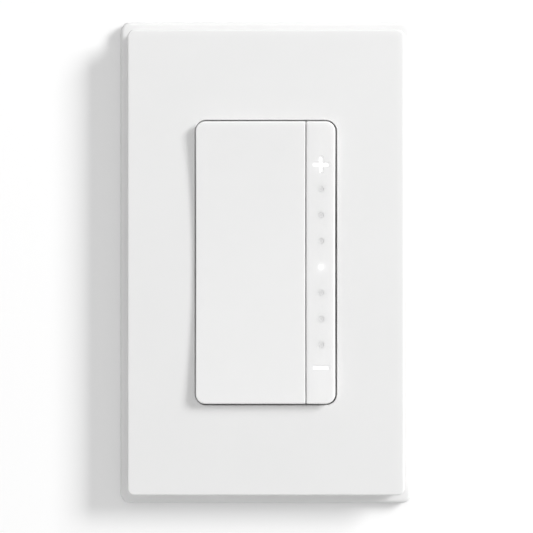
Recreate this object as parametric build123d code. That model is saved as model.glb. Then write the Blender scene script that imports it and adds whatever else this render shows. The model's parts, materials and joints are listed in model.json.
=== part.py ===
"""Wall dimmer with a two-piece screwless wallplate, a dished on-off paddle and a narrow dimming bar.

Millimetres. The origin is on the wall surface at the middle of the wallplate. X runs to the right as seen
from the room, Y runs into the wall and Z runs up, so the front faces look along -Y.

The height of the plate drives the other heights: places along Z are shares of it, or of the opening.
"""

import os

from build123d import *

# Wallplate: a sub-plate that is screwed to the strap, and a cover that snaps over it.
plate_width = 69.2
plate_height = 114.3
plate_corner = 2.35
ledge_front = -2.2
ledge_rounding = 1.0
rim_width = 2.0
web_front = -2.85
web_rear = -1.45
web_corner = 0.8
frame_rib_rear = -0.4
cover_inset_x = 2.175
cover_inset_z = 2.65
cover_corner = 1.6
cover_front = -6.2
cover_wall = 1.8
cover_skin = 1.6
cover_edge = 0.25
cover_inner_corner = 0.6
opening_width = 33.3
opening_corner = 2.7
opening_lip = 1.2
opening_lip_rear = -3.2
opening_edge = 0.12
cover_fit = 0.2

# Snap tabs of the cover, two on each long side.
tab_inset = 2.425
tab_thickness = 1.2
tab_length = 8.0
tab_end = -0.75
tab_tip_taper = 0.4
tab_room = 0.8
tab_end_room = 0.3
hook_reach = 0.7

# Metal strap that carries the device.
strap_front = -1.45
strap_rear = -0.15
strap_width = 44.0
strap_shoulder = 1.8
strap_end_width = 20.0
strap_end_inset = 4.35
strap_corner = 1.5
window_width = 31.0
window_corner = 1.0
box_slot_length = 7.6
box_slot_width = 3.9
ear_notch_radius = 0.8
ear_inner_reach = 3.6
ear_outer_reach = 4.4

# Ground lug, bent back from the lower shoulder of the strap.
lug_x = -14.0
lug_width = 10.0
lug_thickness = 1.2
lug_rear = 9.5
lug_corner = 1.5
lug_root = 0.3
ground_screw_y = 5.0

# Paddle and bar, dished along their height.
key_end_gap = 0.49
paddle_side_gap = 0.25
bar_side_gap = 0.51
seam_gap = 0.18
key_ends = -7.75
key_middle = -6.8
key_rear = -4.4
key_skin = 1.2
key_wall = 0.9
key_corner = 2.3
key_inner_corner = 0.6
seam_corner = 0.35
key_edge = 0.22
rib_thickness = 1.0
rib_depth = 0.9
rib_inset = 0.4
sink = 0.4

# Hinge of the paddle at its top edge, and pivot of the bar between its third and fourth lamps.
trunnion_radius = 0.75
running_clearance = 0.05
side_clearance = 0.1
end_clearance = 0.3
paddle_hinge_y = -3.85
paddle_hinge_inset = 2.67
paddle_lug_inset = 3.8
paddle_lug_thickness = 1.6
paddle_lug_half = 1.1
hinge_post_width = 2.2
hinge_post_half = 1.4
hinge_post_front = 1.5
hinge_lug_rear = -3.0
bar_pivot_y = -3.75
bar_post_width = 2.6
bar_post_half = 1.15
bar_post_front = 1.2
bar_lug_half = 1.0
bar_trunnion_reach = 0.9

# Row of lamps in the bar, with a plus sign above and a minus sign below.
lamp_count = 7
lamp_radius = 0.55
plus_arm = 3.95
plus_stroke = 0.98
minus_arm = 3.76
minus_stroke = 0.82
guide_fit = 0.02
guide_width = 2.4
guide_web = 0.55
sign_recess = 0.12
lamp_recess = 0.04

# Bezel, which lies on the front of the strap and reaches back through its window.
bezel_width = 36.4
bezel_corner = 2.0
bezel_front = -2.85
bezel_fit = 0.4
skirt_inset = 0.2
skirt_inset_z = 0.3
skirt_wall = 0.8
skirt_corner = 1.0
tunnel_radius = 0.9
sign_tunnel_width = 4.2
sign_tunnel_height = 1.5
boss_x = 15.6
boss_inset = 3.4
boss_radius = 2.1
boss_rear = 5.0
boss_fit = 0.2

# Control board behind the bezel, and what it carries.
control_front = 1.0
control_rear = 2.2
control_inset = 1.5
board_corner = 1.0
switch_x = -6.0
switch_size = 6.0
switch_corner = 0.3
switch_front = -2.5
switch_well = 1.2
switch_room = 0.4
plunger_radius = 1.75
plunger_front = -3.29
plunger_length = 1.59
plunger_edge = 0.25
plunger_fit = 0.1
paddle_rib_radius = 1.5
paddle_rib_rear = -3.35
dome_radius = 1.5
dome_top_radius = 1.0
dome_front = -2.0
dome_fit = 0.15
bar_rib_radius = 0.95
bar_rib_rear = -2.1
bar_rib_fit = 0.1
spring_x = -4.0
spring_width = 4.0
spring_half = 3.2
spring_leaf = 0.3
spring_bend = 1.0
spring_seat = 0.04
led_width = 1.0
led_height = 0.6
chip_x = 4.0
chip_size = 7.0
chip_thickness = 1.0
radio_x = -7.0
radio_width = 14.0
radio_thickness = 0.8
radio_room = 0.3
radio_corner = 0.5
shield_width = 12.4
shield_depth = 2.0
shield_sheet = 0.25
shield_corner = 0.4

# Inner stack of the rear housing.
barrier_front = 8.6
barrier_rear = 9.8
barrier_gap = 0.9
standoff_x = 15.5
standoff_inset = 3.5
standoff_radius = 1.8
power_front = 11.0
power_rear = 12.6
power_inset = 0.5
header_x = -2.0
header_inset = 2.5
header_length = 12.7
header_width = 2.5
header_fit = 0.4

# Parts on the power board: place across it, then size.
choke_x = -5.0
choke_outer = 7.6
choke_inner = 4.0
choke_length = 5.4
winding_build = 0.9
winding_fit = 0.02
winding_gap = 1.8
storage_x = 9.2
storage_radius = 4.2
storage_length = 13.0
storage_edge = 0.6
film_x = 5.0
film_size = (13.0, 6.0, 11.0)
varistor_x = 8.0
varistor_radius = 4.8
varistor_thickness = 3.2
varistor_lift = 1.0
varistor_lead = 0.8
varistor_lead_spread = 2.5
fuse_x = -9.0
fuse_radius = 4.0
fuse_length = 8.0
fuse_edge = 0.5
transformer_x = -5.5
transformer_base = (12.0, 12.0, 3.0)
transformer_core = (9.0, 11.0, 9.0)

# Angle bracket and the two power transistors against its wall.
spreader_half = 12.0
spreader_thickness = 1.2
spreader_foot = 4.0
spreader_rear = 24.0
spreader_gap = 0.4
transistor_x = 6.0
transistor_size = (10.0, 4.4, 9.2)
transistor_front = 14.0
transistor_edge = 0.5
leg_spread = 2.54
leg_width = 0.8
leg_thickness = 0.6
leg_offset = 0.1

# Rear housing.
housing_corner = 2.5
housing_wall = 1.6
housing_back = 29.0
housing_rear = 31.0
housing_edge = 0.8
housing_draft = 1.0
gauge_length = 12.0
gauge_width = 2.0
gauge_depth = 0.6
tower_radius = 2.7
post_x = 17.0
post_inset = 2.0
post_radius = 1.5

# Wire terminals in side pockets of the housing.
pocket_depth = 6.2
pocket_half = 5.0
pocket_front = 16.0
pocket_rear = 28.0
pocket_wall = 1.4
contact_thickness = 1.0
contact_front = 17.2
contact_rear = 27.2
contact_half = 4.2
contact_leg_half = 1.5
contact_leg_reach = 2.4
contact_slot_fit = 0.3
terminal_y = 22.0
clamp_size = 7.4
clamp_thickness = 1.2
clamp_corner = 0.6
clamp_inner_x = 18.4
wire_hole_radius = 1.25
wire_hole_spread = 2.4

# Screws. A threaded shank is thread_bite larger in radius than the hole that it is driven into.
thread_bite = 0.05
hole_fit = 0.2
box_thread_radius = 1.75
box_thread_end = 0.6
box_neck_radius = 1.35
box_neck_rear = 1.6
box_neck_overlap = 0.5
box_screw_rear = 26.0
box_head_radius = 3.4
box_head_height = 1.35
box_head_room = 0.5
washer_size = 8.0
washer_rear = 0.75
plate_shank_radius = 1.7
plate_head_radius = 2.7
plate_head_height = 1.2
plate_shank_length = 6.0
housing_shank_radius = 1.15
housing_head_radius = 2.3
housing_head_height = 1.5
housing_screw_gap = 0.6
terminal_shank_radius = 1.6
terminal_shank_length = 4.6
terminal_head_radius = 3.2
terminal_head_height = 2.0
ground_head_height = 1.9
ground_shank_reach = 0.4

# Length that carries a cut past the whole part.
beyond = 60.0

# Sides of the prisms that stand for small round pieces, which repeat, and of the screw heads.
few_sides = 12
head_sides = 16

# Straight cut across a hidden corner, as a share of the radius whose arc it touches.
corner_cut = 0.586

# Sizes that follow from the ones above.
cover_width = plate_width - 2 * cover_inset_x
cover_height = plate_height - 2 * cover_inset_z
opening_height = plate_height * 0.58443
tab_inner_x = cover_width / 2 - cover_wall - tab_inset
tab_z = plate_height * 0.2275
frame_rib_z = [plate_height * share for share in (-0.35, -0.11, 0, 0.11, 0.35)]
box_screw_z = plate_height * 0.36457
plate_screw_z = plate_height * 0.42362
strap_height = plate_height - 2 * strap_end_inset
strap_body_height = opening_height + 2 * strap_shoulder
bezel_height = strap_body_height
housing_height = strap_body_height - 2 * strap_shoulder
housing_width = strap_width
barrier_width = housing_width - 2 * (housing_wall + barrier_gap)
power_width = barrier_width - 2 * power_inset
control_width = barrier_width - 2 * control_inset
window_height = housing_height * 0.7964
skirt_width = window_width - 2 * skirt_inset
skirt_height = window_height - 2 * skirt_inset_z
board_height = housing_height * 0.8084

key_height = opening_height - 2 * key_end_gap
seam_x = opening_width * 0.279
lamp_x = opening_width * 0.38739
paddle_left = -opening_width / 2 + paddle_side_gap
paddle_right = seam_x - seam_gap / 2
paddle_lug_x = (paddle_left + paddle_lug_inset, paddle_right - paddle_lug_inset)
bar_left = seam_x + seam_gap / 2
bar_right = opening_width / 2 - bar_side_gap
paddle_hinge_z = key_height / 2 - paddle_hinge_inset
paddle_rib_z = (opening_height * 0.3, -opening_height * 0.18)
bar_pivot_z = opening_height * 0.03
lamp_pitch = opening_height * 0.0906
lamp_middle_z = -opening_height * 0.0154
lamp_heights = [lamp_middle_z + lamp_pitch * (lamp_count // 2 - i) for i in range(lamp_count)]
plus_z = opening_height * 0.3424
minus_z = -opening_height * 0.3665
dome_z = (opening_height * 0.3, -opening_height * 0.328)
switch_z = opening_height * 0.1228
spring_z = -opening_height * 0.352
chip_z = opening_height * 0.18
radio_z = -opening_height * 0.135
radio_height = opening_height * 0.3
shield_height = radio_height * 0.65
shield_offset = radio_height * 0.125

boss_z = housing_height / 2 - boss_inset
boss_places = [(x, z) for x in (-boss_x, boss_x) for z in (-boss_z, boss_z)]
standoff_z = board_height / 2 - standoff_inset
post_z = board_height / 2 - post_inset
header_z = header_inset - board_height / 2
choke_z = -board_height * 0.287
storage_z = -board_height * 0.389
film_z = board_height * 0.0556
varistor_z = -board_height * 0.2333
fuse_z = board_height * 0.0463
transformer_z = board_height * 0.287
spreader_top = housing_height / 2 - housing_wall - spreader_gap
pocket_floor = housing_width / 2 - pocket_depth
gauge_z = -housing_height * 0.3

# Each terminal: side of the housing, then height.
terminals = {
    "line": (1, housing_height * 0.195),
    "load": (1, -housing_height * 0.105),
    "neutral": (-1, housing_height * 0.195),
}


def slab(x0, x1, y0, y1, z0, z1):
    """Block between two corners."""
    middle = Pos((x0 + x1) / 2, (y0 + y1) / 2, (z0 + z1) / 2)
    return middle * Box(x1 - x0, y1 - y0, z1 - z0)


def upright(outline, y_front, y_rear, x=0.0, z=0.0):
    """Flat outline, drawn as seen from the room, given a depth from front to rear."""
    back = Plane((x, y_rear, z), x_dir=(1, 0, 0), z_dir=(0, -1, 0))
    return extrude(back * outline, amount=y_rear - y_front)


def sheet(width, height, y_front, y_rear, corner=0.0, x=0.0, z=0.0):
    """Upright plate with rounded corners, between two depths."""
    outline = RectangleRounded(width, height, corner) if corner else Rectangle(width, height)
    return upright(outline, y_front, y_rear, x, z)


def trimmed_sheet(width, height, y_front, y_rear, corner, x=0.0, z=0.0):
    """Upright plate whose corners are cut straight, each cut touching the arc of that radius."""
    outline = chamfer(Rectangle(width, height).vertices(), corner * corner_cut)
    return upright(outline, y_front, y_rear, x, z)


def rod_y(radius, y_front, y_rear, x=0.0, z=0.0):
    """Round bar along the depth."""
    return upright(Circle(radius), y_front, y_rear, x, z)


def prism_y(radius, y_front, y_rear, x=0.0, z=0.0, sides=few_sides):
    """Bar with few sides along the depth."""
    return upright(RegularPolygon(radius, sides), y_front, y_rear, x, z)


def prism_x(radius, x0, x1, y, z):
    """Bar with few sides across the width."""
    start = Plane((x0, y, z), x_dir=(0, 1, 0), z_dir=(1, 0, 0))
    return extrude(start * RegularPolygon(radius, few_sides), amount=x1 - x0)


def prism_z(radius, z0, z1, x, y, sides=few_sides):
    """Bar with few sides along the height."""
    return Pos(x, y, z0) * extrude(RegularPolygon(radius, sides), amount=z1 - z0)


def long_slot(length, width, turned=0.0):
    """Outline of a slot whose round ends have few sides."""
    reach = (length - width) / 2
    outline = Rectangle(2 * reach, width)
    for end in (-reach, reach):
        outline += Pos(end, 0) * RegularPolygon(width / 2, few_sides)
    return Rot(0, 0, turned) * outline


def rod_x(radius, x0, x1, y, z):
    """Round bar across the width."""
    return Pos((x0 + x1) / 2, y, z) * Rot(0, 90, 0) * Cylinder(radius, x1 - x0)


def front_edges(solid):
    """Edges of the face that is nearest to the room."""
    return solid.faces().sort_by(Axis.Y)[0].edges()


def rear_edges(solid):
    """Edges of the face that is farthest from the room."""
    return solid.faces().sort_by(Axis.Y)[-1].edges()


def screw(head_radius, head_height, shank_radius, shank_length):
    """Cross-recess screw along Y, with its seat at the origin and its head towards the room."""
    head = prism_y(head_radius, -head_height, 0, sides=head_sides)
    head = chamfer(front_edges(head), head_height * 0.3)
    arm = head_radius * 0.55
    slot = head_radius * 0.13
    floor = -head_height * 0.45
    head -= slab(-arm, arm, -beyond, floor, -slot, slot)
    head -= slab(-slot, slot, -beyond, floor, -arm, arm)
    return head + prism_y(shank_radius, 0, shank_length)


def wallplate_frame():
    """Sub-plate: a rim that meets the wall, a ledge around the cover and a raised web behind it."""
    body = sheet(plate_width, plate_height, ledge_front, 0, plate_corner)
    body = fillet(front_edges(body), ledge_rounding)
    inner_corner = plate_corner - rim_width / 2
    body -= trimmed_sheet(plate_width - 2 * rim_width, plate_height - 2 * rim_width, web_rear, beyond,
                          inner_corner)
    step = 2 * (cover_wall + cover_fit)
    body += trimmed_sheet(cover_width - step, cover_height - step, web_front, web_rear, web_corner)
    room = 2 * bezel_fit
    body -= trimmed_sheet(bezel_width + room, bezel_height + room, -beyond, beyond, bezel_corner)
    slot_outer = tab_inner_x + tab_thickness + cover_fit
    slot_inner = tab_inner_x - tab_room
    slot_half = tab_length / 2 + tab_end_room
    for side in (-1, 1):
        body -= prism_y(plate_shank_radius + hole_fit, -beyond, beyond, 0, side * plate_screw_z)
        body -= prism_y(box_head_radius + box_head_room, -beyond, beyond, 0, side * box_screw_z)
        x0, x1 = sorted((side * slot_inner, side * slot_outer))
        for z in (-tab_z, tab_z):
            body -= slab(x0, x1, -beyond, beyond, z - slot_half, z + slot_half)
        x0, x1 = sorted((side * (strap_width / 2 + bezel_fit), side * (plate_width / 2 - rim_width + sink)))
        for z in frame_rib_z:
            low = z - rib_thickness / 2
            body += slab(x0, x1, web_rear - sink, frame_rib_rear, low, low + rib_thickness)
    return body


def on_side(side, shape):
    """The shape as built for the +X side, or its mirror image on the other side."""
    return shape if side > 0 else mirror(shape, about=Plane.YZ)


def snap_tab(side, z):
    """Springy tab of the cover with a hook that grips the rear of the web."""
    inner, outer = tab_inner_x, tab_inner_x + tab_thickness
    root = cover_front + cover_skin - sink
    outline = Polyline(
        (inner, root),
        (outer, root),
        (outer, web_rear),
        (outer + hook_reach, web_rear),
        (outer - tab_tip_taper, tab_end),
        (inner, tab_end),
        close=True,
    )
    section = make_face(outline.edges())
    return on_side(side, extrude(Plane.XY.offset(z - tab_length / 2) * section, amount=tab_length))


def wallplate_cover():
    """Raised snap-on cover with the rectangular opening and a lip turned in around it."""
    body = sheet(cover_width, cover_height, cover_front, ledge_front, cover_corner)
    body = chamfer(front_edges(body), cover_edge)
    body -= trimmed_sheet(cover_width - 2 * cover_wall, cover_height - 2 * cover_wall,
                          cover_front + cover_skin, beyond, cover_inner_corner)
    body += trimmed_sheet(opening_width + 2 * opening_lip, opening_height + 2 * opening_lip,
                          cover_front + cover_skin / 2, opening_lip_rear, opening_corner + opening_lip)
    body -= sheet(opening_width, opening_height, -beyond, beyond, opening_corner)
    face = body.faces().sort_by(Axis.Y)[0]
    body = chamfer(face.inner_wires()[0].edges(), opening_edge)
    for side in (-1, 1):
        for z in (-tab_z, tab_z):
            body += snap_tab(side, z)
    return body


def mounting_strap():
    """Metal strap with a window, box-screw slots, tapped holes, break-off ears and the ground lug."""
    body = sheet(strap_width, strap_body_height, strap_front, strap_rear, strap_corner)
    body += sheet(strap_end_width, strap_height, strap_front, strap_rear, strap_corner)
    body -= trimmed_sheet(window_width, window_height, -beyond, beyond, window_corner)
    for side in (-1, 1):
        body -= upright(long_slot(box_slot_length, box_slot_width), -beyond, beyond, 0, side * box_screw_z)
        body -= prism_y(plate_shank_radius - thread_bite, -beyond, beyond, 0, side * plate_screw_z)
        for x in (-strap_end_width / 2, strap_end_width / 2):
            for reach in (-ear_inner_reach, ear_outer_reach):
                body -= prism_y(ear_notch_radius, -beyond, beyond, x, side * (box_screw_z + reach))
    for x, z in boss_places:
        body -= prism_y(boss_radius + boss_fit, -beyond, beyond, x, z)
    lug_bottom = -strap_body_height / 2
    lug = slab(lug_x - lug_width / 2, lug_x + lug_width / 2, strap_rear - lug_root, lug_rear,
               lug_bottom, lug_bottom + lug_thickness)
    lug = chamfer(lug.edges().filter_by(Axis.Z).sort_by(Axis.Y)[-2:], lug_corner)
    return body + lug - prism_z(terminal_shank_radius - thread_bite, -beyond, 0, lug_x, ground_screw_y)


def ground_screw():
    """Screw driven upward into the ground lug."""
    shape = screw(terminal_head_radius, ground_head_height, terminal_shank_radius,
                  lug_thickness + ground_shank_reach)
    return Pos(lug_x, ground_screw_y, -strap_body_height / 2) * Rot(90, 0, 0) * shape


def box_screw(z):
    """Captive screw that holds the device to a wall box: head, thin neck and threaded end."""
    neck_length = box_neck_rear - strap_front
    head = screw(box_head_radius, box_head_height, box_neck_radius, neck_length + box_neck_overlap)
    thread = rod_y(box_thread_radius, neck_length, box_screw_rear - strap_front)
    thread = chamfer(rear_edges(thread), box_thread_end)
    return Pos(0, strap_front, z) * (head + thread)


def screw_retainer(z):
    """Fibre washer pushed over the neck of a box screw to keep it in its slot."""
    body = sheet(washer_size, washer_size, strap_rear, washer_rear, 0, 0, z)
    return body - prism_y(box_neck_radius - thread_bite, -beyond, beyond, 0, z)


def plate_screw(z):
    """Screw that holds the sub-plate to the strap."""
    shape = screw(plate_head_radius, plate_head_height, plate_shank_radius, plate_shank_length)
    return Pos(0, web_front, z) * shape


def dished_block(x0, x1, half_height, y_ends, y_middle, y_rear):
    """Block whose front is hollowed to an arc from its top to its bottom."""
    front = ThreePointArc((y_ends, -half_height), (y_middle, 0), (y_ends, half_height))
    rest = Polyline((y_ends, half_height), (y_rear, half_height), (y_rear, -half_height),
                    (y_ends, -half_height))
    section = make_face(front.edges() + rest.edges())
    return extrude(Plane.YZ.offset(x0) * section, amount=x1 - x0)


def key_shell(x0, x1, left_corner, right_corner):
    """Thin cap with a dished front, open at the rear."""
    body = dished_block(x0, x1, key_height / 2, key_ends, key_middle, key_rear)
    uprights = body.edges().filter_by(Axis.Y).sort_by(Axis.X)
    body = fillet(uprights[:2], left_corner)
    uprights = body.edges().filter_by(Axis.Y).sort_by(Axis.X)
    body = fillet(uprights[-2:], right_corner)
    body = chamfer(front_edges(body), key_edge)
    hollow = dished_block(x0 + key_wall, x1 - key_wall, key_height / 2 - key_wall,
                          key_ends + key_skin, key_middle + key_skin, beyond)
    hollow = chamfer(hollow.edges().filter_by(Axis.Y), key_inner_corner * corner_cut)
    return body - hollow


def skin_depth(z, skin=key_skin):
    """Depth at height z of the arc that lies skin behind the dished front."""
    return key_middle + skin - (key_middle - key_ends) * (2 * z / key_height) ** 2


def on_off_paddle():
    """Wide paddle with hinge lugs at its top, a rib over the switch and two cross ribs."""
    body = key_shell(paddle_left, paddle_right, key_corner, seam_corner)
    top = key_height / 2 - key_wall
    for x in paddle_lug_x:
        body += slab(x, x + paddle_lug_thickness, skin_depth(top) - sink, hinge_lug_rear,
                     paddle_hinge_z - paddle_lug_half, top + sink)
        inward = 1 if x < 0 else -1
        root = x + paddle_lug_thickness if inward > 0 else x
        ends = sorted((root - inward * sink, root + inward * (hinge_post_width - end_clearance)))
        body += rod_x(trunnion_radius, *ends, paddle_hinge_y, paddle_hinge_z)
    body += prism_y(paddle_rib_radius, skin_depth(switch_z) - sink, paddle_rib_rear, switch_x, switch_z)
    for z in paddle_rib_z:
        body += slab(paddle_left + rib_inset, paddle_right - rib_inset, skin_depth(z) - sink,
                     skin_depth(z) + rib_depth, z - rib_thickness / 2, z + rib_thickness / 2)
    return body


def sign_bar(length, stroke, z, turned=0.0):
    """One stroke of a sign, with round ends, cut through the whole depth of the skin."""
    return upright(long_slot(length, stroke, turned), -beyond, key_rear, lamp_x, z)


def sign_cut(grow):
    """Plus and minus signs, grown on each side by a fit."""
    body = sign_bar(plus_arm + 2 * grow, plus_stroke + 2 * grow, plus_z)
    body += sign_bar(plus_arm + 2 * grow, plus_stroke + 2 * grow, plus_z, 90)
    body += sheet(minus_arm + 2 * grow, minus_stroke + 2 * grow, -beyond, key_rear, 0, lamp_x, minus_z)
    return body


def dimmer_bar():
    """Narrow rocking bar with its lamp holes, sign windows, pivot lugs and two pressing ribs."""
    body = key_shell(bar_left, bar_right, seam_corner, key_corner)
    for z in dome_z:
        body += prism_y(bar_rib_radius, skin_depth(z) - sink, bar_rib_rear, lamp_x, z)
    for x0, x1, inward in ((bar_left, bar_left + key_wall, 1), (bar_right - key_wall, bar_right, -1)):
        body += slab(x0, x1, key_rear - sink, hinge_lug_rear, bar_pivot_z - bar_lug_half,
                     bar_pivot_z + bar_lug_half)
        root = x1 if inward > 0 else x0
        post_face = lamp_x - inward * bar_post_width / 2
        ends = sorted((root - inward * sink, post_face + inward * bar_trunnion_reach))
        body += rod_x(trunnion_radius, *ends, bar_pivot_y, bar_pivot_z)
    for z in lamp_heights:
        body -= prism_y(lamp_radius, -beyond, key_rear, lamp_x, z)
    return body - sign_cut(0)


def guide_layer(front, rear):
    """Slice of the bar's width between two arcs that lie these depths behind the dished front."""
    layer = dished_block(bar_left, bar_right, key_height / 2, key_ends + front, key_middle + front, key_rear)
    return layer - dished_block(bar_left, bar_right, key_height / 2, key_ends + rear, key_middle + rear, 0)


def light_guide():
    """Clear moulding that fills the lamp holes and the signs and joins them by a strip behind the skin."""
    depth = key_skin + guide_web
    lamps = Part()
    for z in lamp_heights:
        lamps += prism_y(lamp_radius - guide_fit, -beyond, key_rear, lamp_x, z)
    half = key_height / 2 - key_wall - key_inner_corner
    strip = slab(lamp_x - guide_width / 2, lamp_x + guide_width / 2, -beyond, 0, -half, half)
    body = strip & guide_layer(key_skin, depth)
    body += lamps & guide_layer(lamp_recess, depth)
    body += sign_cut(-guide_fit) & guide_layer(sign_recess, depth)
    for z in dome_z:
        body -= prism_y(bar_rib_radius + bar_rib_fit, -beyond, 0, lamp_x, z)
    return body


def bezel():
    """Frame on the front of the strap: hinge posts, light tunnels, openings, rear skirt and bosses."""
    body = sheet(bezel_width, bezel_height, bezel_front, strap_front, bezel_corner)
    skirt = trimmed_sheet(skirt_width, skirt_height, strap_front - sink, control_front, skirt_corner)
    skirt -= trimmed_sheet(skirt_width - 2 * skirt_wall, skirt_height - 2 * skirt_wall, strap_front, beyond,
                           skirt_corner - skirt_wall / 2)
    body += skirt
    for x, z in boss_places:
        body += prism_y(boss_radius, strap_front - sink, boss_rear, x, z)
        body -= prism_y(housing_shank_radius - thread_bite, strap_front, beyond, x, z)
    reach = side_clearance + hinge_post_width
    for x in paddle_lug_x:
        x0 = x + paddle_lug_thickness + side_clearance if x < 0 else x - reach
        body += slab(x0, x0 + hinge_post_width, paddle_hinge_y - hinge_post_front, bezel_front + sink,
                     paddle_hinge_z - hinge_post_half, paddle_hinge_z + hinge_post_half)
        body -= rod_x(trunnion_radius + running_clearance, x0, x0 + hinge_post_width,
                      paddle_hinge_y, paddle_hinge_z)
    half_post = bar_post_width / 2
    body += slab(lamp_x - half_post, lamp_x + half_post, bar_pivot_y - bar_post_front, bezel_front + sink,
                 bar_pivot_z - bar_post_half, bar_pivot_z + bar_post_half)
    body -= rod_x(trunnion_radius + running_clearance, lamp_x - half_post, lamp_x + half_post,
                  bar_pivot_y, bar_pivot_z)
    for z in lamp_heights:
        body -= prism_y(tunnel_radius, -beyond, 0, lamp_x, z)
    for z in (plus_z, minus_z):
        body -= sheet(sign_tunnel_width, sign_tunnel_height, -beyond, 0, 0, lamp_x, z)
    for z in dome_z:
        body -= prism_y(dome_radius + dome_fit, -beyond, 0, lamp_x, z)
    room = switch_size + 2 * switch_room
    body -= sheet(room, room, -beyond, 0, 0, switch_x, switch_z)
    room = 2 * radio_room
    body -= trimmed_sheet(radio_width + room, radio_height + room, -beyond, 0, radio_corner, radio_x, radio_z)
    return body


def paddle_switch_body():
    """Square push switch on the control board."""
    body = trimmed_sheet(switch_size, switch_size, switch_front, control_front, switch_corner,
                         switch_x, switch_z)
    well = plunger_radius + plunger_fit
    return body - rod_y(well, -beyond, switch_front + switch_well, switch_x, switch_z)


def paddle_switch_plunger():
    """Round plunger that slides into the push switch."""
    body = rod_y(plunger_radius, plunger_front, plunger_front + plunger_length, switch_x, switch_z)
    return chamfer(front_edges(body), plunger_edge)


def dimmer_dome(z):
    """Silicone dome on the control board under one rib of the bar."""
    outlines = []
    for radius, y in ((dome_radius, control_front), (dome_top_radius, dome_front)):
        level = Plane((lamp_x, y, z), x_dir=(1, 0, 0), z_dir=(0, -1, 0))
        outlines.append(level * RegularPolygon(radius, few_sides))
    return loft(outlines, ruled=True)


def paddle_return_spring():
    """Folded leaf spring between the bezel and the rear of the paddle's skin."""
    rear = bezel_front - spring_seat
    front = skin_depth(spring_z - spring_half) + spring_seat
    low, high = spring_z - spring_half, spring_z + spring_half
    outline = Polyline(
        (rear, low),
        (rear, high),
        (rear - 2 * spring_leaf, high),
        (front, low + spring_bend),
        (front, low),
        (front + spring_leaf, low),
        (front + spring_leaf, low + spring_bend),
        (rear - spring_leaf, high - spring_bend),
        (rear - spring_leaf, low),
        close=True,
    )
    section = make_face(outline.edges())
    return extrude(Plane.YZ.offset(spring_x - spring_width / 2) * section, amount=spring_width)


def control_board():
    """Front circuit board."""
    return trimmed_sheet(control_width, board_height, control_front, control_rear, board_corner)


def indicator_leds():
    """Small lamps on the control board, one behind each window of the bar."""
    group = []
    for z in (plus_z, *lamp_heights, minus_z):
        group.append(sheet(led_width, led_height, control_front - led_height, control_front, 0, lamp_x, z))
    return Compound(group)


def controller_chip():
    """Controller on the rear of the control board."""
    return sheet(chip_size, chip_size, control_rear, control_rear + chip_thickness, 0, chip_x, chip_z)


def radio_board():
    """Small radio board with the aerial end left bare."""
    return sheet(radio_width, radio_height, control_front - radio_thickness, control_front, 0,
                 radio_x, radio_z)


def radio_shield():
    """Metal can over the radio parts."""
    rear = control_front - radio_thickness
    front = rear - shield_depth
    z = radio_z + shield_offset
    body = trimmed_sheet(shield_width, shield_height, front, rear, shield_corner, radio_x, z)
    thinner = 2 * shield_sheet
    return body - sheet(shield_width - thinner, shield_height - thinner, front + shield_sheet, beyond, 0,
                        radio_x, z)


def board_connector():
    """Pin header between the two circuit boards."""
    return sheet(header_length, header_width, control_rear, power_front, 0, header_x, header_z)


def insulating_barrier():
    """Moulded plate that keeps the two boards apart, with standoffs on both faces."""
    body = trimmed_sheet(barrier_width, board_height, barrier_front, barrier_rear, board_corner)
    room = 2 * header_fit
    body -= sheet(header_length + room, header_width + room, -beyond, beyond, 0, header_x, header_z)
    for x in (-standoff_x, standoff_x):
        for z in (-standoff_z, standoff_z):
            body += prism_y(standoff_radius, control_rear, power_front, x, z)
    return body


def power_board():
    """Rear circuit board."""
    return trimmed_sheet(power_width, board_height, power_front, power_rear, board_corner)


def choke_ring(outer, inner, y_front, y_rear):
    """Ring with few sides around the choke's middle."""
    ring = prism_y(outer, y_front, y_rear, choke_x, choke_z)
    return ring - prism_y(inner, -beyond, beyond, choke_x, choke_z)


def choke_core():
    """Ring core of the interference choke, held off the board by its winding."""
    front = power_rear + winding_build
    return choke_ring(choke_outer, choke_inner, front, front + choke_length)


def choke_winding():
    """Wire wound around the ring core in two groups, standing on the board."""
    build = winding_build
    rear = power_rear + choke_length + 2 * build
    body = choke_ring(choke_outer + build, choke_inner - build, power_rear, rear)
    body -= choke_ring(choke_outer + winding_fit, choke_inner - winding_fit,
                       power_rear + build - winding_fit, rear - build + winding_fit)
    return body - slab(choke_x - winding_gap, choke_x + winding_gap, -beyond, beyond, -beyond, beyond)


def storage_capacitor():
    """Round storage capacitor standing on the board."""
    body = prism_y(storage_radius, power_rear, power_rear + storage_length, storage_x, storage_z)
    return chamfer(rear_edges(body), storage_edge)


def film_capacitor():
    """Box-shaped film capacitor."""
    width, height, depth = film_size
    return sheet(width, height, power_rear, power_rear + depth, 0, film_x, film_z)


def surge_varistor():
    """Disc varistor on two leads."""
    middle = power_rear + varistor_lift + varistor_radius
    half = varistor_thickness / 2
    disc = prism_z(varistor_radius, varistor_z - half, varistor_z + half, varistor_x, middle, head_sides)
    for offset in (-varistor_lead_spread, varistor_lead_spread):
        disc += sheet(varistor_lead, varistor_lead, power_rear, middle, 0, varistor_x + offset, varistor_z)
    return disc


def power_fuse():
    """Round moulded fuse standing on the board."""
    body = prism_y(fuse_radius, power_rear, power_rear + fuse_length, fuse_x, fuse_z)
    return chamfer(rear_edges(body), fuse_edge)


def supply_transformer():
    """Bobbin foot and core of the small supply transformer."""
    width, height, depth = transformer_base
    body = sheet(width, height, power_rear, power_rear + depth, 0, transformer_x, transformer_z)
    width, height, rest = transformer_core
    return body + sheet(width, height, power_rear + depth - sink, power_rear + depth + rest, 0,
                        transformer_x, transformer_z)


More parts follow.
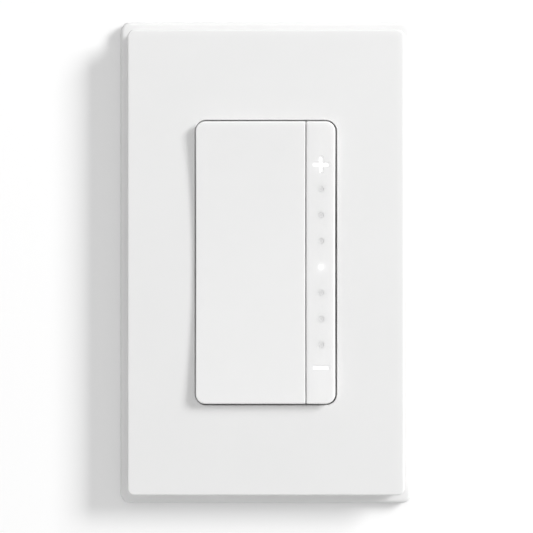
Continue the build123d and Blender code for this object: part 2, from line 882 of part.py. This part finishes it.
def heat_spreader():
    """Angle bracket on the rear of the strap that takes the heat of the power transistors."""
    foot = slab(-spreader_half, spreader_half, strap_rear, strap_rear + spreader_thickness,
                spreader_top - spreader_foot, spreader_top)
    wall = slab(-spreader_half, spreader_half, strap_rear, spreader_rear,
                spreader_top - spreader_thickness, spreader_top)
    return foot + wall


def power_transistor(x):
    """Power transistor lying against the heat spreader, with three legs to the board."""
    width, height, depth = transistor_size
    top = spreader_top - spreader_thickness
    body = slab(x - width / 2, x + width / 2, transistor_front, transistor_front + depth, top - height, top)
    body = chamfer(body.edges().filter_by(Axis.X).sort_by(Axis.Z)[:2], transistor_edge)
    leg_z = top - height + leg_offset
    for offset in (-leg_spread, 0, leg_spread):
        body += slab(x + offset - leg_width / 2, x + offset + leg_width / 2, power_rear,
                     transistor_front + transistor_edge + sink, leg_z, leg_z + leg_thickness)
    return body


def terminal_pocket_walls(z):
    """Solid block around a terminal pocket inside the housing, on the +X side."""
    outer = housing_width / 2 - housing_wall / 2
    half = pocket_half + pocket_wall
    return slab(pocket_floor - pocket_wall, outer, pocket_front - pocket_wall, housing_back + sink,
                z - half, z + half)


def terminal_pocket(z):
    """Hollow of one terminal: side pocket, screw relief, contact slot and two wire holes."""
    body = slab(pocket_floor, beyond, pocket_front, pocket_rear, z - pocket_half, z + pocket_half)
    inner = pocket_floor - pocket_wall - sink
    body += prism_x(terminal_shank_radius + bezel_fit, inner, pocket_floor + sink, terminal_y, z)
    leg_half = contact_leg_half + contact_slot_fit
    body += slab(inner, pocket_floor + sink, contact_front - contact_slot_fit,
                 contact_front + contact_thickness + contact_slot_fit, z - leg_half, z + leg_half)
    wire_x = (pocket_floor + contact_thickness + clamp_inner_x) / 2
    for offset in (-wire_hole_spread, wire_hole_spread):
        body += prism_y(wire_hole_radius, pocket_rear - sink, beyond, wire_x, z + offset)
    return body


def rear_housing():
    """Rear housing with screw towers, board posts, terminal pockets and wire holes."""
    start = Plane((0, strap_rear, 0), x_dir=(1, 0, 0), z_dir=(0, 1, 0))
    outline = start * RectangleRounded(housing_width, housing_height, housing_corner)
    body = extrude(outline, amount=housing_rear - strap_rear, taper=housing_draft)
    body = chamfer(rear_edges(body), housing_edge)
    body -= sheet(gauge_length, gauge_width, housing_rear - gauge_depth, beyond, 0, 0, gauge_z)
    body -= trimmed_sheet(housing_width - 2 * housing_wall, housing_height - 2 * housing_wall, -beyond,
                          housing_back, housing_corner - housing_wall / 2)
    for x, z in boss_places:
        body += prism_y(tower_radius, boss_rear, housing_back + sink, x, z)
    for x in (-post_x, post_x):
        for z in (-post_z, post_z):
            body += prism_y(post_radius, power_rear, housing_back + sink, x, z)
    for side, z in terminals.values():
        body += on_side(side, terminal_pocket_walls(z))
    for side, z in terminals.values():
        body -= on_side(side, terminal_pocket(z))
    for x, z in boss_places:
        body -= prism_y(boss_radius + boss_fit, -beyond, boss_rear, x, z)
        body -= prism_y(housing_shank_radius + hole_fit, -beyond, beyond, x, z)
        body -= prism_y(housing_head_radius + hole_fit, housing_back, beyond, x, z, head_sides)
    return body


def housing_screw(x, z):
    """Long screw from the rear of the housing into a boss of the bezel."""
    shape = screw(housing_head_radius, housing_head_height, housing_shank_radius,
                  housing_back - housing_screw_gap)
    return Pos(x, housing_back, z) * Rot(0, 0, 180) * shape


def terminal_contact(side, z):
    """Brass contact on the floor of a pocket, with a leg to the power board."""
    leg_x = pocket_floor - pocket_wall - contact_leg_reach
    leg_rear = contact_front + contact_thickness
    low, high = z - contact_leg_half, z + contact_leg_half
    body = slab(pocket_floor, pocket_floor + contact_thickness, contact_front, contact_rear,
                z - contact_half, z + contact_half)
    body += slab(leg_x, pocket_floor + sink, contact_front, leg_rear, low, high)
    body += slab(leg_x, leg_x + contact_thickness, power_rear, leg_rear, low, high)
    body -= prism_x(terminal_shank_radius - thread_bite, pocket_floor - sink, beyond, terminal_y, z)
    return on_side(side, body)


def wire_clamp(side, z):
    """Square plate under a terminal screw head that presses the wires onto the contact."""
    half = clamp_size / 2
    body = slab(clamp_inner_x, clamp_inner_x + clamp_thickness, terminal_y - half, terminal_y + half,
                z - half, z + half)
    body = chamfer(body.edges().filter_by(Axis.X), clamp_corner)
    body -= prism_x(terminal_shank_radius - thread_bite, 0, beyond, terminal_y, z)
    return on_side(side, body)


def terminal_screw(side, z):
    """Terminal screw that faces outward from the side of the housing."""
    shape = screw(terminal_head_radius, terminal_head_height, terminal_shank_radius, terminal_shank_length)
    seat = Pos(clamp_inner_x + clamp_thickness, terminal_y, z) * Rot(0, 0, 90) * shape
    return on_side(side, seat)


nodes = {
    "wallplate_frame": wallplate_frame(),
    "wallplate_cover": wallplate_cover(),
    "plate_screw_upper": plate_screw(plate_screw_z),
    "plate_screw_lower": plate_screw(-plate_screw_z),
    "mounting_strap": mounting_strap(),
    "ground_screw": ground_screw(),
    "box_screw_upper": box_screw(box_screw_z),
    "box_screw_lower": box_screw(-box_screw_z),
    "screw_retainer_upper": screw_retainer(box_screw_z),
    "screw_retainer_lower": screw_retainer(-box_screw_z),
    "bezel": bezel(),
    "on_off_paddle": on_off_paddle(),
    "dimmer_bar": dimmer_bar(),
    "light_guide": light_guide(),
    "paddle_switch_body": paddle_switch_body(),
    "paddle_switch_plunger": paddle_switch_plunger(),
    "dimmer_dome_upper": dimmer_dome(dome_z[0]),
    "dimmer_dome_lower": dimmer_dome(dome_z[1]),
    "paddle_return_spring": paddle_return_spring(),
    "control_board": control_board(),
    "indicator_leds": indicator_leds(),
    "controller_chip": controller_chip(),
    "radio_board": radio_board(),
    "radio_shield": radio_shield(),
    "board_connector": board_connector(),
    "insulating_barrier": insulating_barrier(),
    "power_board": power_board(),
    "choke_core": choke_core(),
    "choke_winding": choke_winding(),
    "power_capacitor": storage_capacitor(),
    "film_capacitor": film_capacitor(),
    "surge_varistor": surge_varistor(),
    "power_fuse": power_fuse(),
    "supply_transformer": supply_transformer(),
    "heat_spreader": heat_spreader(),
    "power_transistor_left": power_transistor(-transistor_x),
    "power_transistor_right": power_transistor(transistor_x),
    "rear_housing": rear_housing(),
}
for number, (x, z) in enumerate(boss_places, start=1):
    nodes[f"housing_screw_{number}"] = housing_screw(x, z)
for name, (side, z) in terminals.items():
    nodes[f"{name}_contact"] = terminal_contact(side, z)
    nodes[f"{name}_clamp"] = wire_clamp(side, z)
    nodes[f"{name}_screw"] = terminal_screw(side, z)

os.makedirs("parts", exist_ok=True)
for name, shape in nodes.items():
    export_step(shape, f"parts/{name}.step")
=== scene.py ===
"""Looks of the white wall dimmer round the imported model: materials, threads, wall, lamps and camera."""

import json
import math

import bmesh
import bpy
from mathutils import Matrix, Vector


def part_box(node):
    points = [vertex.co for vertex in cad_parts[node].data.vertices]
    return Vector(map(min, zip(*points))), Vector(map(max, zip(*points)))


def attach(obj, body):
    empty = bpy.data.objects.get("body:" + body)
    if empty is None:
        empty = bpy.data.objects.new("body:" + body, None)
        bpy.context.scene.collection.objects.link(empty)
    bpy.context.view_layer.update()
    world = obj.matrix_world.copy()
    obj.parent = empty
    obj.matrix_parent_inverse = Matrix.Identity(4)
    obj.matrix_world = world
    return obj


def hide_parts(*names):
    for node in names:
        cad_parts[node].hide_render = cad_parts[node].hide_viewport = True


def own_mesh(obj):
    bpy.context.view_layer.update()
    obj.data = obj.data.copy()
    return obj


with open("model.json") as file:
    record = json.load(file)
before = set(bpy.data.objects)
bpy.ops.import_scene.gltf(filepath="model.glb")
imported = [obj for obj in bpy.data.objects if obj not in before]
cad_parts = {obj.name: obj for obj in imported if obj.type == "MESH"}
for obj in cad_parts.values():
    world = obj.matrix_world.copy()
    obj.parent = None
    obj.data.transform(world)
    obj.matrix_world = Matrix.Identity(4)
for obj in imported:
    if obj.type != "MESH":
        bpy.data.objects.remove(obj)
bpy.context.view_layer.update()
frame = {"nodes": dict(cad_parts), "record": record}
nodes = frame["nodes"]

# Camera, in metres and in pixels of the square picture. The sensor width is in millimetres.
IMAGE_SIDE = 533
SENSOR_WIDTH = 36.0
CAMERA_DISTANCE = 0.300
PIXELS_PER_METRE = 4275.0
OBJECT_CENTRE_PX = (266.0, 262.6)
CLIP_START = 0.01

# Light levels. A lamp's level is the brightness that it alone gives a white surface facing the room, or for
# the two rear lamps one facing away from it. Its size is given for a distance of one metre.
WORLD_LEVEL = 0.495
LAMP_DISTANCE = 1.6
LAMPS = {
    "key": {"towards": (2.0, -1.0, 1.1), "size": (0.24, 0.42), "level": 0.41},
    "front_fill": {"towards": (-0.3, -1.0, 0.2), "size": (1.2, 1.2), "level": 0.09},
    "left_fill": {"towards": (-1.0, -0.5, 0.0), "size": (0.8, 0.8), "level": 0.02},
    "low_fill": {"towards": (-0.2, -0.5, -1.0), "size": (0.8, 0.8), "level": 0.025},
    "rear_left": {"towards": (-0.8, 1.0, 0.6), "size": (0.6, 0.6), "level": 0.33},
    "rear_right": {"towards": (0.9, 0.8, 0.2), "size": (0.6, 0.6), "level": 0.20},
}

# Wall: its paint as seen and as it lights the object, its glow to the camera and in reflections, its reach,
# its place behind the plate, how far the rim covers the edge of its opening, and the cut across the opening's
# corners.
WALL_WHITE = 0.98
WALL_BOUNCE = 0.12
WALL_GLOW = 0.05
WALL_REACH = 0.7
WALL_BEHIND = 0.00005
WALL_COVERED = 0.0003
WALL_CORNER_CUT = 0.0012

# Places of the signs and windows on the bar, from the guide that fills them. The fourth of seven is lit.
guide_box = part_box("light_guide")
WINDOW_X = (guide_box[0].x + guide_box[1].x) / 2
WINDOW_PITCH = 0.006052
LIT_WINDOW_Z = -0.001029
WINDOW_RADIUS = 0.00055
GREY_CORE = 0.3
LIT_HALF_HEIGHT = 0.0012
SIGNS_BEYOND_Z = 0.0207
LIT_GLOW = 0.45
SIGN_GLOW = 0.22

# Glow of the lit window in the plastic round it.
HALO_CENTRE_Y = -0.0068
HALO_RADIUS = 0.0013
HALO_GLOW = 0.06

# Thread of the box and plate screws: 32 turns to the inch. The starts are depths measured back from the
# wall's face. The shank's radius is taken over its last stretch.
THREAD_PITCH = 0.000794
THREAD_DEPTH = 0.00036
THREAD_STEEPNESS = 0.72
THREAD_ROWS_PER_TURN = 6
THREAD_COLUMNS = 24
THREAD_TIP = 0.0006
THREAD_STARTS = {
    "box_screw_upper": 0.0016,
    "box_screw_lower": 0.0016,
    "plate_screw_upper": -0.0006,
    "plate_screw_lower": -0.0006,
}
SHANK_END = 0.002
MERGE_DISTANCE = 1e-7
SHARP_ANGLE = math.radians(34)

# Soft pieces behind the keys: the joint that presses each, and how far it is pressed at that limit.
PRESSED = {
    "dimmer_dome_upper": ("dimmer_rock", 0.00032),
    "dimmer_dome_lower": ("dimmer_rock", 0.00040),
    "paddle_return_spring": ("paddle_press", 0.00095),
}

# Sockets of the colour kind of the Mix node.
MIX_SHARE, MIX_FIRST, MIX_SECOND, MIX_RESULT = 0, 6, 7, 2

# Most of a noise texture's values lie between these.
NOISE_LOW, NOISE_HIGH = 0.3, 0.7

# Subsurface light in the white mouldings.
TRANSLUCENT = {
    "Subsurface_Weight": 0.8,
    "Subsurface_Radius": (1.0, 1.0, 1.0),
    "Subsurface_Scale": 0.0010,
}

WHITE_LIGHT = (1, 1, 1, 1)


class Shader:
    """A material with short calls for the nodes used here. Textures lie in the part's own metres."""

    def __init__(self, name, **sockets):
        self.material = bpy.data.materials.new(name)
        self.material.use_nodes = True
        self.tree = self.material.node_tree
        self.bsdf = self.tree.nodes["Principled BSDF"]
        self.place = self.node("ShaderNodeTexCoord").outputs["Object"]
        for socket, value in sockets.items():
            self.bsdf.inputs[socket.replace("_", " ")].default_value = value

    def node(self, kind, **settings):
        made = self.tree.nodes.new(kind)
        for key, value in settings.items():
            setattr(made, key, value)
        return made

    def link(self, start, end):
        self.tree.links.new(start, end)

    def put(self, socket, value):
        """Value is a number, a colour or another node's output."""
        if isinstance(value, bpy.types.NodeSocket):
            self.link(value, socket)
        else:
            socket.default_value = value

    def stretched(self, scale):
        mapping = self.node("ShaderNodeMapping")
        mapping.inputs["Scale"].default_value = scale
        self.link(self.place, mapping.inputs["Vector"])
        return mapping.outputs["Vector"]

    def noise(self, size, detail, stretch=(1, 1, 1)):
        """Noise with features of about that size in metres."""
        texture = self.node("ShaderNodeTexNoise")
        texture.inputs["Scale"].default_value = 1.0 / size
        texture.inputs["Detail"].default_value = detail
        self.link(self.stretched(stretch), texture.inputs["Vector"])
        return texture.outputs["Fac"]

    def maths(self, operation, first, second=0.0):
        node = self.node("ShaderNodeMath", operation=operation)
        self.put(node.inputs[0], first)
        self.put(node.inputs[1], second)
        return node.outputs[0]

    def spread(self, value, low, high, start=0.0, end=1.0):
        """Value between low and high becomes start to end, and no more or less outside them."""
        node = self.node("ShaderNodeMapRange")
        ends = node.inputs[1:5]
        for socket, entry in zip(ends, (low, high, start, end)):
            self.put(socket, entry)
        self.link(value, node.inputs[0])
        return node.outputs[0]

    def mix(self, share, first, second):
        """Colour that goes from the first to the second with the share."""
        node = self.node("ShaderNodeMix", data_type="RGBA")
        self.put(node.inputs[MIX_SHARE], share)
        self.put(node.inputs[MIX_FIRST], opaque(first))
        self.put(node.inputs[MIX_SECOND], opaque(second))
        return node.outputs[MIX_RESULT]

    def colour(self, value):
        self.put(self.bsdf.inputs["Base Color"], opaque(value))

    def roughness(self, value):
        self.put(self.bsdf.inputs["Roughness"], value)

    def glow(self, strength):
        """White light of that strength from the surface itself."""
        self.put(self.bsdf.inputs["Emission Color"], WHITE_LIGHT)
        self.put(self.bsdf.inputs["Emission Strength"], strength)

    def bump(self, *layers):
        """Layers of (height output, depth in metres), laid over each other."""
        before = None
        for height, depth in layers:
            node = self.node("ShaderNodeBump")
            node.inputs["Distance"].default_value = depth
            self.link(height, node.inputs["Height"])
            if before:
                self.link(before, node.inputs["Normal"])
            before = node.outputs["Normal"]
        self.link(before, self.bsdf.inputs["Normal"])


def opaque(colour):
    """Colour with full alpha. An output of a node stays as it is."""
    return (*colour, 1) if isinstance(colour, tuple) else colour


def shade(colour, factor):
    """Colour made darker or lighter by a factor."""
    return tuple(min(1.0, part * factor) for part in colour)


def moulded(name, colour, rough, grain=0.00022, depth=0.000004, mottling=0.012, **sockets):
    """Moulded plastic: faint mottling, a fine spark-eroded grain and slow waves from the mould."""
    cloud_size, wave_size, wave_depth, rough_change = 0.018, 0.011, 0.00002, 0.05
    made = Shader(name, **sockets)
    cloud = made.noise(cloud_size, 3.0)
    made.colour(made.mix(cloud, shade(colour, 1 - mottling), shade(colour, 1 + mottling)))
    fine = made.noise(grain, 3.0)
    made.roughness(made.spread(fine, NOISE_LOW, NOISE_HIGH, rough - rough_change, rough + rough_change))
    made.bump((fine, depth), (made.noise(wave_size, 1.0), wave_depth))
    return made.material


def stamped_metal(name, colour, rough, along=(1, 1, 14)):
    """Rolled sheet metal: fine lines along the rolling and cloudy patches, in colour and roughness."""
    line_size, line_depth, cloud_size = 0.0011, 0.000006, 0.009
    dark, pale = shade(colour, 0.9), shade(colour, 1.06)
    made = Shader(name, Metallic=1.0)
    lines = made.noise(line_size, 4.0, along)
    cloud = made.noise(cloud_size, 3.0)
    made.colour(made.mix(cloud, dark, pale))
    both = made.maths("ADD", lines, cloud)
    made.roughness(made.spread(both, 2 * NOISE_LOW, 2 * NOISE_HIGH, rough - 0.1, rough + 0.12))
    made.bump((lines, line_depth))
    return made.material


def plated(name, colour, rough, metallic=1.0):
    """Plated or painted screw metal with small colour changes and pits."""
    patch_size, pit_size, pit_depth = 0.0016, 0.0004, 0.000006
    dark, pale = shade(colour, 0.86), shade(colour, 1.1)
    made = Shader(name, Metallic=metallic)
    patches = made.noise(patch_size, 3.0)
    made.colour(made.mix(patches, dark, pale))
    made.roughness(made.spread(patches, NOISE_LOW, NOISE_HIGH, rough - 0.08, rough + 0.1))
    made.bump((made.noise(pit_size, 2.0), pit_depth))
    return made.material


def wall_paint():
    """White wall that keeps the object's shadow, gives little light back and isn't there from behind."""
    made = Shader("wall_paint")
    path = made.node("ShaderNodeLightPath")
    made.colour(made.mix(path.outputs["Is Diffuse Ray"], (WALL_WHITE,) * 3, (WALL_BOUNCE,) * 3))
    made.roughness(0.9)
    seen = made.maths("MAXIMUM", path.outputs["Is Camera Ray"], path.outputs["Is Glossy Ray"])
    seen = made.maths("MAXIMUM", seen, path.outputs["Is Transmission Ray"])
    made.glow(made.maths("MULTIPLY", seen, WALL_GLOW))
    output = made.tree.nodes["Material Output"]
    geometry = made.node("ShaderNodeNewGeometry")
    clear = made.node("ShaderNodeBsdfTransparent")
    choose = made.node("ShaderNodeMixShader")
    made.link(geometry.outputs["Backfacing"], choose.inputs[0])
    made.link(made.bsdf.outputs[0], choose.inputs[1])
    made.link(clear.outputs[0], choose.inputs[2])
    made.link(choose.outputs[0], output.inputs["Surface"])
    return made.material


def key_plastic():
    """White key plastic, with a faint glow where the lit lamp shines into it."""
    cloud_size, grain_size, grain_depth = 0.02, 0.00025, 0.000003
    white = (0.87, 0.87, 0.868)
    dark, pale = shade(white, 0.992), shade(white, 1.008)
    made = Shader("key_plastic", Specular_IOR_Level=0.45, **TRANSLUCENT)
    cloud = made.noise(cloud_size, 2.0)
    made.colour(made.mix(cloud, dark, pale))
    fine = made.noise(grain_size, 3.0)
    made.roughness(made.spread(fine, NOISE_LOW, NOISE_HIGH, 0.30, 0.38))
    made.bump((fine, grain_depth))
    away = made.node("ShaderNodeVectorMath", operation="DISTANCE")
    made.link(made.place, away.inputs[0])
    away.inputs[1].default_value = (WINDOW_X, HALO_CENTRE_Y, LIT_WINDOW_Z)
    near = made.spread(away.outputs["Value"], WINDOW_RADIUS, HALO_RADIUS, 1.0, 0.0)
    made.glow(made.maths("MULTIPLY", near, made.maths("MULTIPLY", near, HALO_GLOW)))
    return made.material


def light_guide_plastic():
    """Translucent guide: grey where its lamp is off, bright in the lit window and the two signs."""
    dark_grey, pale_grey, white = (0.68,) * 3, (0.86,) * 3, (0.95,) * 3
    made = Shader("light_guide_plastic", Specular_IOR_Level=0.5)
    parts = made.node("ShaderNodeSeparateXYZ")
    made.link(made.place, parts.inputs[0])
    height = parts.outputs["Z"]
    above_lit = made.maths("SUBTRACT", height, LIT_WINDOW_Z)
    lamp = made.maths("LESS_THAN", made.maths("ABSOLUTE", above_lit), LIT_HALF_HEIGHT)
    sign = made.maths("GREATER_THAN", made.maths("ABSOLUTE", height), SIGNS_BEYOND_Z)
    lit = made.maths("MAXIMUM", lamp, sign)
    aside = made.maths("SUBTRACT", parts.outputs["X"], WINDOW_X)
    # Height above the nearest window. The third input is the other end of the range.
    above = made.maths("WRAP", above_lit, -WINDOW_PITCH / 2)
    made.put(above.node.inputs[2], WINDOW_PITCH / 2)
    squares = made.maths("MULTIPLY", aside, aside), made.maths("MULTIPLY", above, above)
    radial = made.maths("SQRT", made.maths("ADD", *squares))
    rim = made.spread(radial, WINDOW_RADIUS * GREY_CORE, WINDOW_RADIUS)
    off = made.mix(rim, dark_grey, pale_grey)
    made.colour(made.mix(lit, off, white))
    made.roughness(0.4)
    glows = made.maths("MULTIPLY", lamp, LIT_GLOW), made.maths("MULTIPLY", sign, SIGN_GLOW)
    made.glow(made.maths("ADD", *glows))
    return made.material


def fibre_washer():
    """Brown vulcanised fibre with short pressed threads."""
    thread_size, thread_depth, stretch = 0.0004, 0.00003, (1, 1, 4)
    dark, pale = (0.30, 0.19, 0.11), (0.52, 0.36, 0.22)
    made = Shader("fibre_washer")
    threads = made.noise(thread_size, 5.0, stretch)
    made.colour(made.mix(threads, dark, pale))
    made.roughness(0.8)
    made.bump((threads, thread_depth))
    return made.material


def circuit_board():
    """Green board: solder mask over square-cornered tracks."""
    cells_per_metre, track_edge, track_depth = 420.0, (0.05, 0.09), 0.00003
    dark, pale = (0.015, 0.12, 0.05), (0.03, 0.22, 0.10)
    made = Shader("circuit_board", Coat_Weight=0.4, Coat_Roughness=0.2)
    cells = made.node("ShaderNodeTexVoronoi", distance="CHEBYCHEV", feature="DISTANCE_TO_EDGE")
    cells.inputs["Scale"].default_value = cells_per_metre
    made.link(made.place, cells.inputs["Vector"])
    track = made.spread(cells.outputs["Distance"], *track_edge, 1.0, 0.0)
    made.colour(made.mix(track, dark, pale))
    made.roughness(0.45)
    made.bump((track, track_depth))
    return made.material


# Material of each slot.
materials = {
    "plate_plastic": moulded(
        "plate_plastic", (0.85, 0.85, 0.848), 0.36, Specular_IOR_Level=0.45, **TRANSLUCENT
    ),
    "key_plastic": key_plastic(),
    "guide_plastic": light_guide_plastic(),
    "bezel_plastic": moulded("bezel_plastic", (0.87, 0.87, 0.868), 0.5),
    "housing_plastic": moulded("housing_plastic", (0.022, 0.022, 0.024), 0.5, 0.0004, 0.00002, 0.12),
    "barrier_plastic": moulded("barrier_plastic", (0.08, 0.08, 0.08), 0.5),
    "strap_metal": stamped_metal("strap_metal", (0.72, 0.73, 0.74), 0.38),
    "zinc_steel": plated("zinc_steel", (0.62, 0.65, 0.70), 0.32),
    "white_screw": plated("white_screw", (0.85, 0.85, 0.85), 0.35, 0.0),
    "brass": plated("brass", (0.78, 0.56, 0.24), 0.3),
    "green_screw": plated("green_screw", (0.03, 0.30, 0.09), 0.3, 0.6),
    "fibre": fibre_washer(),
    "silicone": moulded("silicone", (0.5, 0.5, 0.5), 0.6),
    "spring_steel": plated("spring_steel", (0.5, 0.5, 0.52), 0.28),
    "board": circuit_board(),
    "component_black": moulded("component_black", (0.02, 0.02, 0.02), 0.45),
    "switch_plastic": moulded("switch_plastic", (0.03, 0.03, 0.03), 0.45),
    "plunger_plastic": moulded("plunger_plastic", (0.6, 0.57, 0.45), 0.5),
    "led": moulded("led", (0.85, 0.8, 0.55), 0.3),
    "tin_shield": stamped_metal("tin_shield", (0.68, 0.68, 0.67), 0.4),
    "ferrite": moulded("ferrite", (0.04, 0.04, 0.045), 0.6, 0.0003, 0.00002, 0.2),
    "copper_winding": stamped_metal("copper_winding", (0.72, 0.28, 0.1), 0.35, (1, 9, 1)),
    "capacitor_sleeve": moulded("capacitor_sleeve", (0.02, 0.03, 0.07), 0.3),
    "film_box": moulded("film_box", (0.7, 0.5, 0.06), 0.35),
    "varistor_coat": moulded("varistor_coat", (0.03, 0.1, 0.35), 0.35),
    "fuse_body": moulded("fuse_body", (0.2, 0.12, 0.07), 0.35),
    "transformer_tape": moulded("transformer_tape", (0.6, 0.42, 0.1), 0.3),
}

SLOTS = {part["node"]: part["material_slot"] for part in frame["record"]["subparts"]}


def dress_nodes():
    """Gives every CAD node its slot's material."""
    for node, slot in SLOTS.items():
        piece = nodes[node]
        piece.data.materials.clear()
        piece.data.materials.append(materials[slot])


def stand_in(name, mesh, node):
    """Piece of the fixed body that is shown in place of a CAD node."""
    piece = bpy.data.objects.new(name, mesh)
    bpy.context.scene.collection.objects.link(piece)
    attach(piece, "device")
    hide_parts(node)
    return piece


def thread_grid(axis_x, axis_z, start, end, radius):
    """Closed tube along Y with a V thread cut into it and a tapered tip: its points and faces."""
    length = end - start
    rows = round(length / THREAD_PITCH * THREAD_ROWS_PER_TURN)
    points = []
    for row in range(rows + 1):
        along = length * row / rows
        outside = radius - max(0.0, THREAD_TIP - (length - along))
        for column in range(THREAD_COLUMNS):
            turn = column / THREAD_COLUMNS
            phase = (along / THREAD_PITCH - turn) % 1.0
            # The groove is deepest at half phase and flat at the crest.
            groove = max(0.0, 1.0 - abs(4 * phase - 2.0) * THREAD_STEEPNESS)
            reach = min(outside, radius - THREAD_DEPTH * groove)
            angle = 2 * math.pi * turn
            across, up = reach * math.cos(angle), reach * math.sin(angle)
            points.append((axis_x + across, start + along, axis_z + up))
    faces = []
    for row in range(rows):
        for column in range(THREAD_COLUMNS):
            beside = (column + 1) % THREAD_COLUMNS
            low, high = row * THREAD_COLUMNS, (row + 1) * THREAD_COLUMNS
            faces.append((low + column, high + column, high + beside, low + beside))
    faces.append(tuple(range(THREAD_COLUMNS)))
    faces.append(tuple(rows * THREAD_COLUMNS + column for column in reversed(range(THREAD_COLUMNS))))
    return points, faces


def cut_thread(node, start):
    """Screw with its CAD head and, from the depth start to its end, a thread in place of the plain shank."""
    low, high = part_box(node)
    shank = [vertex.co.x for vertex in nodes[node].data.vertices if vertex.co.y > high.y - SHANK_END]
    radius = (max(shank) - min(shank)) / 2
    points, faces = thread_grid((low.x + high.x) / 2, (low.z + high.z) / 2, start, high.y, radius)
    thread = bpy.data.meshes.new(node + "_thread")
    thread.from_pydata(points, [], faces)
    joined = bmesh.new()
    joined.from_mesh(nodes[node].data)
    bmesh.ops.remove_doubles(joined, verts=joined.verts, dist=MERGE_DISTANCE)
    everything = joined.verts[:] + joined.edges[:] + joined.faces[:]
    bmesh.ops.bisect_plane(joined, geom=everything, dist=MERGE_DISTANCE, plane_co=(0, start, 0),
                           plane_no=(0, 1, 0), clear_outer=True)
    bmesh.ops.holes_fill(joined, edges=[edge for edge in joined.edges if edge.is_boundary])
    joined.from_mesh(thread)
    bmesh.ops.recalc_face_normals(joined, faces=joined.faces)
    mesh = bpy.data.meshes.new(node + "_threaded")
    joined.to_mesh(mesh)
    joined.free()
    mesh.polygons.foreach_set("use_smooth", [True] * len(mesh.polygons))
    mesh.set_sharp_from_angle(angle=SHARP_ANGLE)
    mesh.materials.append(materials[SLOTS[node]])
    stand_in(node + "_threaded", mesh, node)


def press_flat(node):
    """Copy of a soft CAD piece, shown in place of its node on the fixed body."""
    piece = stand_in(node + "_soft", nodes[node].data.copy(), node)
    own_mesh(piece)


def add_wall():
    """White wall, open behind the plate as for a wall box. It isn't part of the object."""
    plate_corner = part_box("wallplate_frame")[1]
    wide, high = plate_corner.x - WALL_COVERED, plate_corner.z - WALL_COVERED
    cut_wide, cut_high = wide - WALL_CORNER_CUT, high - WALL_CORNER_CUT
    corners = ((-1, -1), (1, -1), (1, 1), (-1, 1))
    per_corner = 3
    points, faces = [], []
    for across, up in corners:
        opening = [(across * cut_wide, up * high), (across * wide, up * cut_high)]
        if across != up:
            opening.reverse()
        outer = len(points)
        leaving, entering = outer + 1, outer + 2
        following = (outer + per_corner) % (per_corner * len(corners))
        places = (across * WALL_REACH, up * WALL_REACH), *opening
        points += [(x, WALL_BEHIND, z) for x, z in places]
        faces.append((outer, leaving, entering))
        faces.append((outer, following, following + 2, leaving))
    mesh = bpy.data.meshes.new("wall")
    mesh.from_pydata(points, [], faces)
    wall = bpy.data.objects.new("wall", mesh)
    bpy.context.scene.collection.objects.link(wall)
    mesh.materials.append(wall_paint())


def add_lamp(name, towards, size, level):
    """Area lamp that alone gives a white surface facing the room that brightness."""
    direction = Vector(towards).normalized()
    lamp = bpy.data.lights.new(name, "AREA")
    lamp.shape = "RECTANGLE"
    lamp.size, lamp.size_y = (LAMP_DISTANCE * side for side in size)
    # A lamp straight ahead lights the surface to its power over (pi * distance) squared.
    facing = abs(direction.y)
    lamp.energy = level * math.pi ** 2 * LAMP_DISTANCE ** 2 / facing
    holder = bpy.data.objects.new(name, lamp)
    holder.location = direction * LAMP_DISTANCE
    holder.rotation_euler = direction.to_track_quat("Z", "Y").to_euler()
    bpy.context.scene.collection.objects.link(holder)


def add_world():
    """White background for the camera and for reflections, and a plainer level for lighting."""
    world = bpy.data.worlds.new("world")
    bpy.context.scene.world = world
    world.use_nodes = True
    tree = world.node_tree
    background = tree.nodes["Background"]
    background.inputs["Color"].default_value = WHITE_LIGHT
    path = tree.nodes.new("ShaderNodeLightPath")
    seen = tree.nodes.new("ShaderNodeMath")
    seen.operation = "MAXIMUM"
    tree.links.new(path.outputs["Is Camera Ray"], seen.inputs[0])
    tree.links.new(path.outputs["Is Glossy Ray"], seen.inputs[1])
    through = tree.nodes.new("ShaderNodeMath")
    through.operation = "MAXIMUM"
    tree.links.new(seen.outputs[0], through.inputs[0])
    tree.links.new(path.outputs["Is Transmission Ray"], through.inputs[1])
    level = tree.nodes.new("ShaderNodeMapRange")
    level.inputs["To Min"].default_value = WORLD_LEVEL
    tree.links.new(through.outputs[0], level.inputs["Value"])
    tree.links.new(level.outputs[0], background.inputs["Strength"])


def add_camera():
    """Camera straight in front, aimed so that the object lies where the photograph has it."""
    data = bpy.data.cameras.new("camera")
    data.sensor_width = SENSOR_WIDTH
    data.lens = PIXELS_PER_METRE * CAMERA_DISTANCE * SENSOR_WIDTH / IMAGE_SIDE
    data.clip_start = CLIP_START
    camera = bpy.data.objects.new("camera", data)
    right = (IMAGE_SIDE / 2 - OBJECT_CENTRE_PX[0]) / PIXELS_PER_METRE
    up = -(IMAGE_SIDE / 2 - OBJECT_CENTRE_PX[1]) / PIXELS_PER_METRE
    cover_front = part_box("wallplate_cover")[0].y
    camera.location = (right, cover_front - CAMERA_DISTANCE, up)
    camera.rotation_euler = (math.pi / 2, 0, 0)
    bpy.context.scene.collection.objects.link(camera)
    bpy.context.scene.camera = camera


dress_nodes()
for screw, start in THREAD_STARTS.items():
    cut_thread(screw, start)
for node, (joint, travel) in PRESSED.items():
    press_flat(node)
add_wall()
add_world()
for name, lamp in LAMPS.items():
    add_lamp(name, **lamp)
add_camera()
bpy.context.scene.view_settings.view_transform = "Standard"
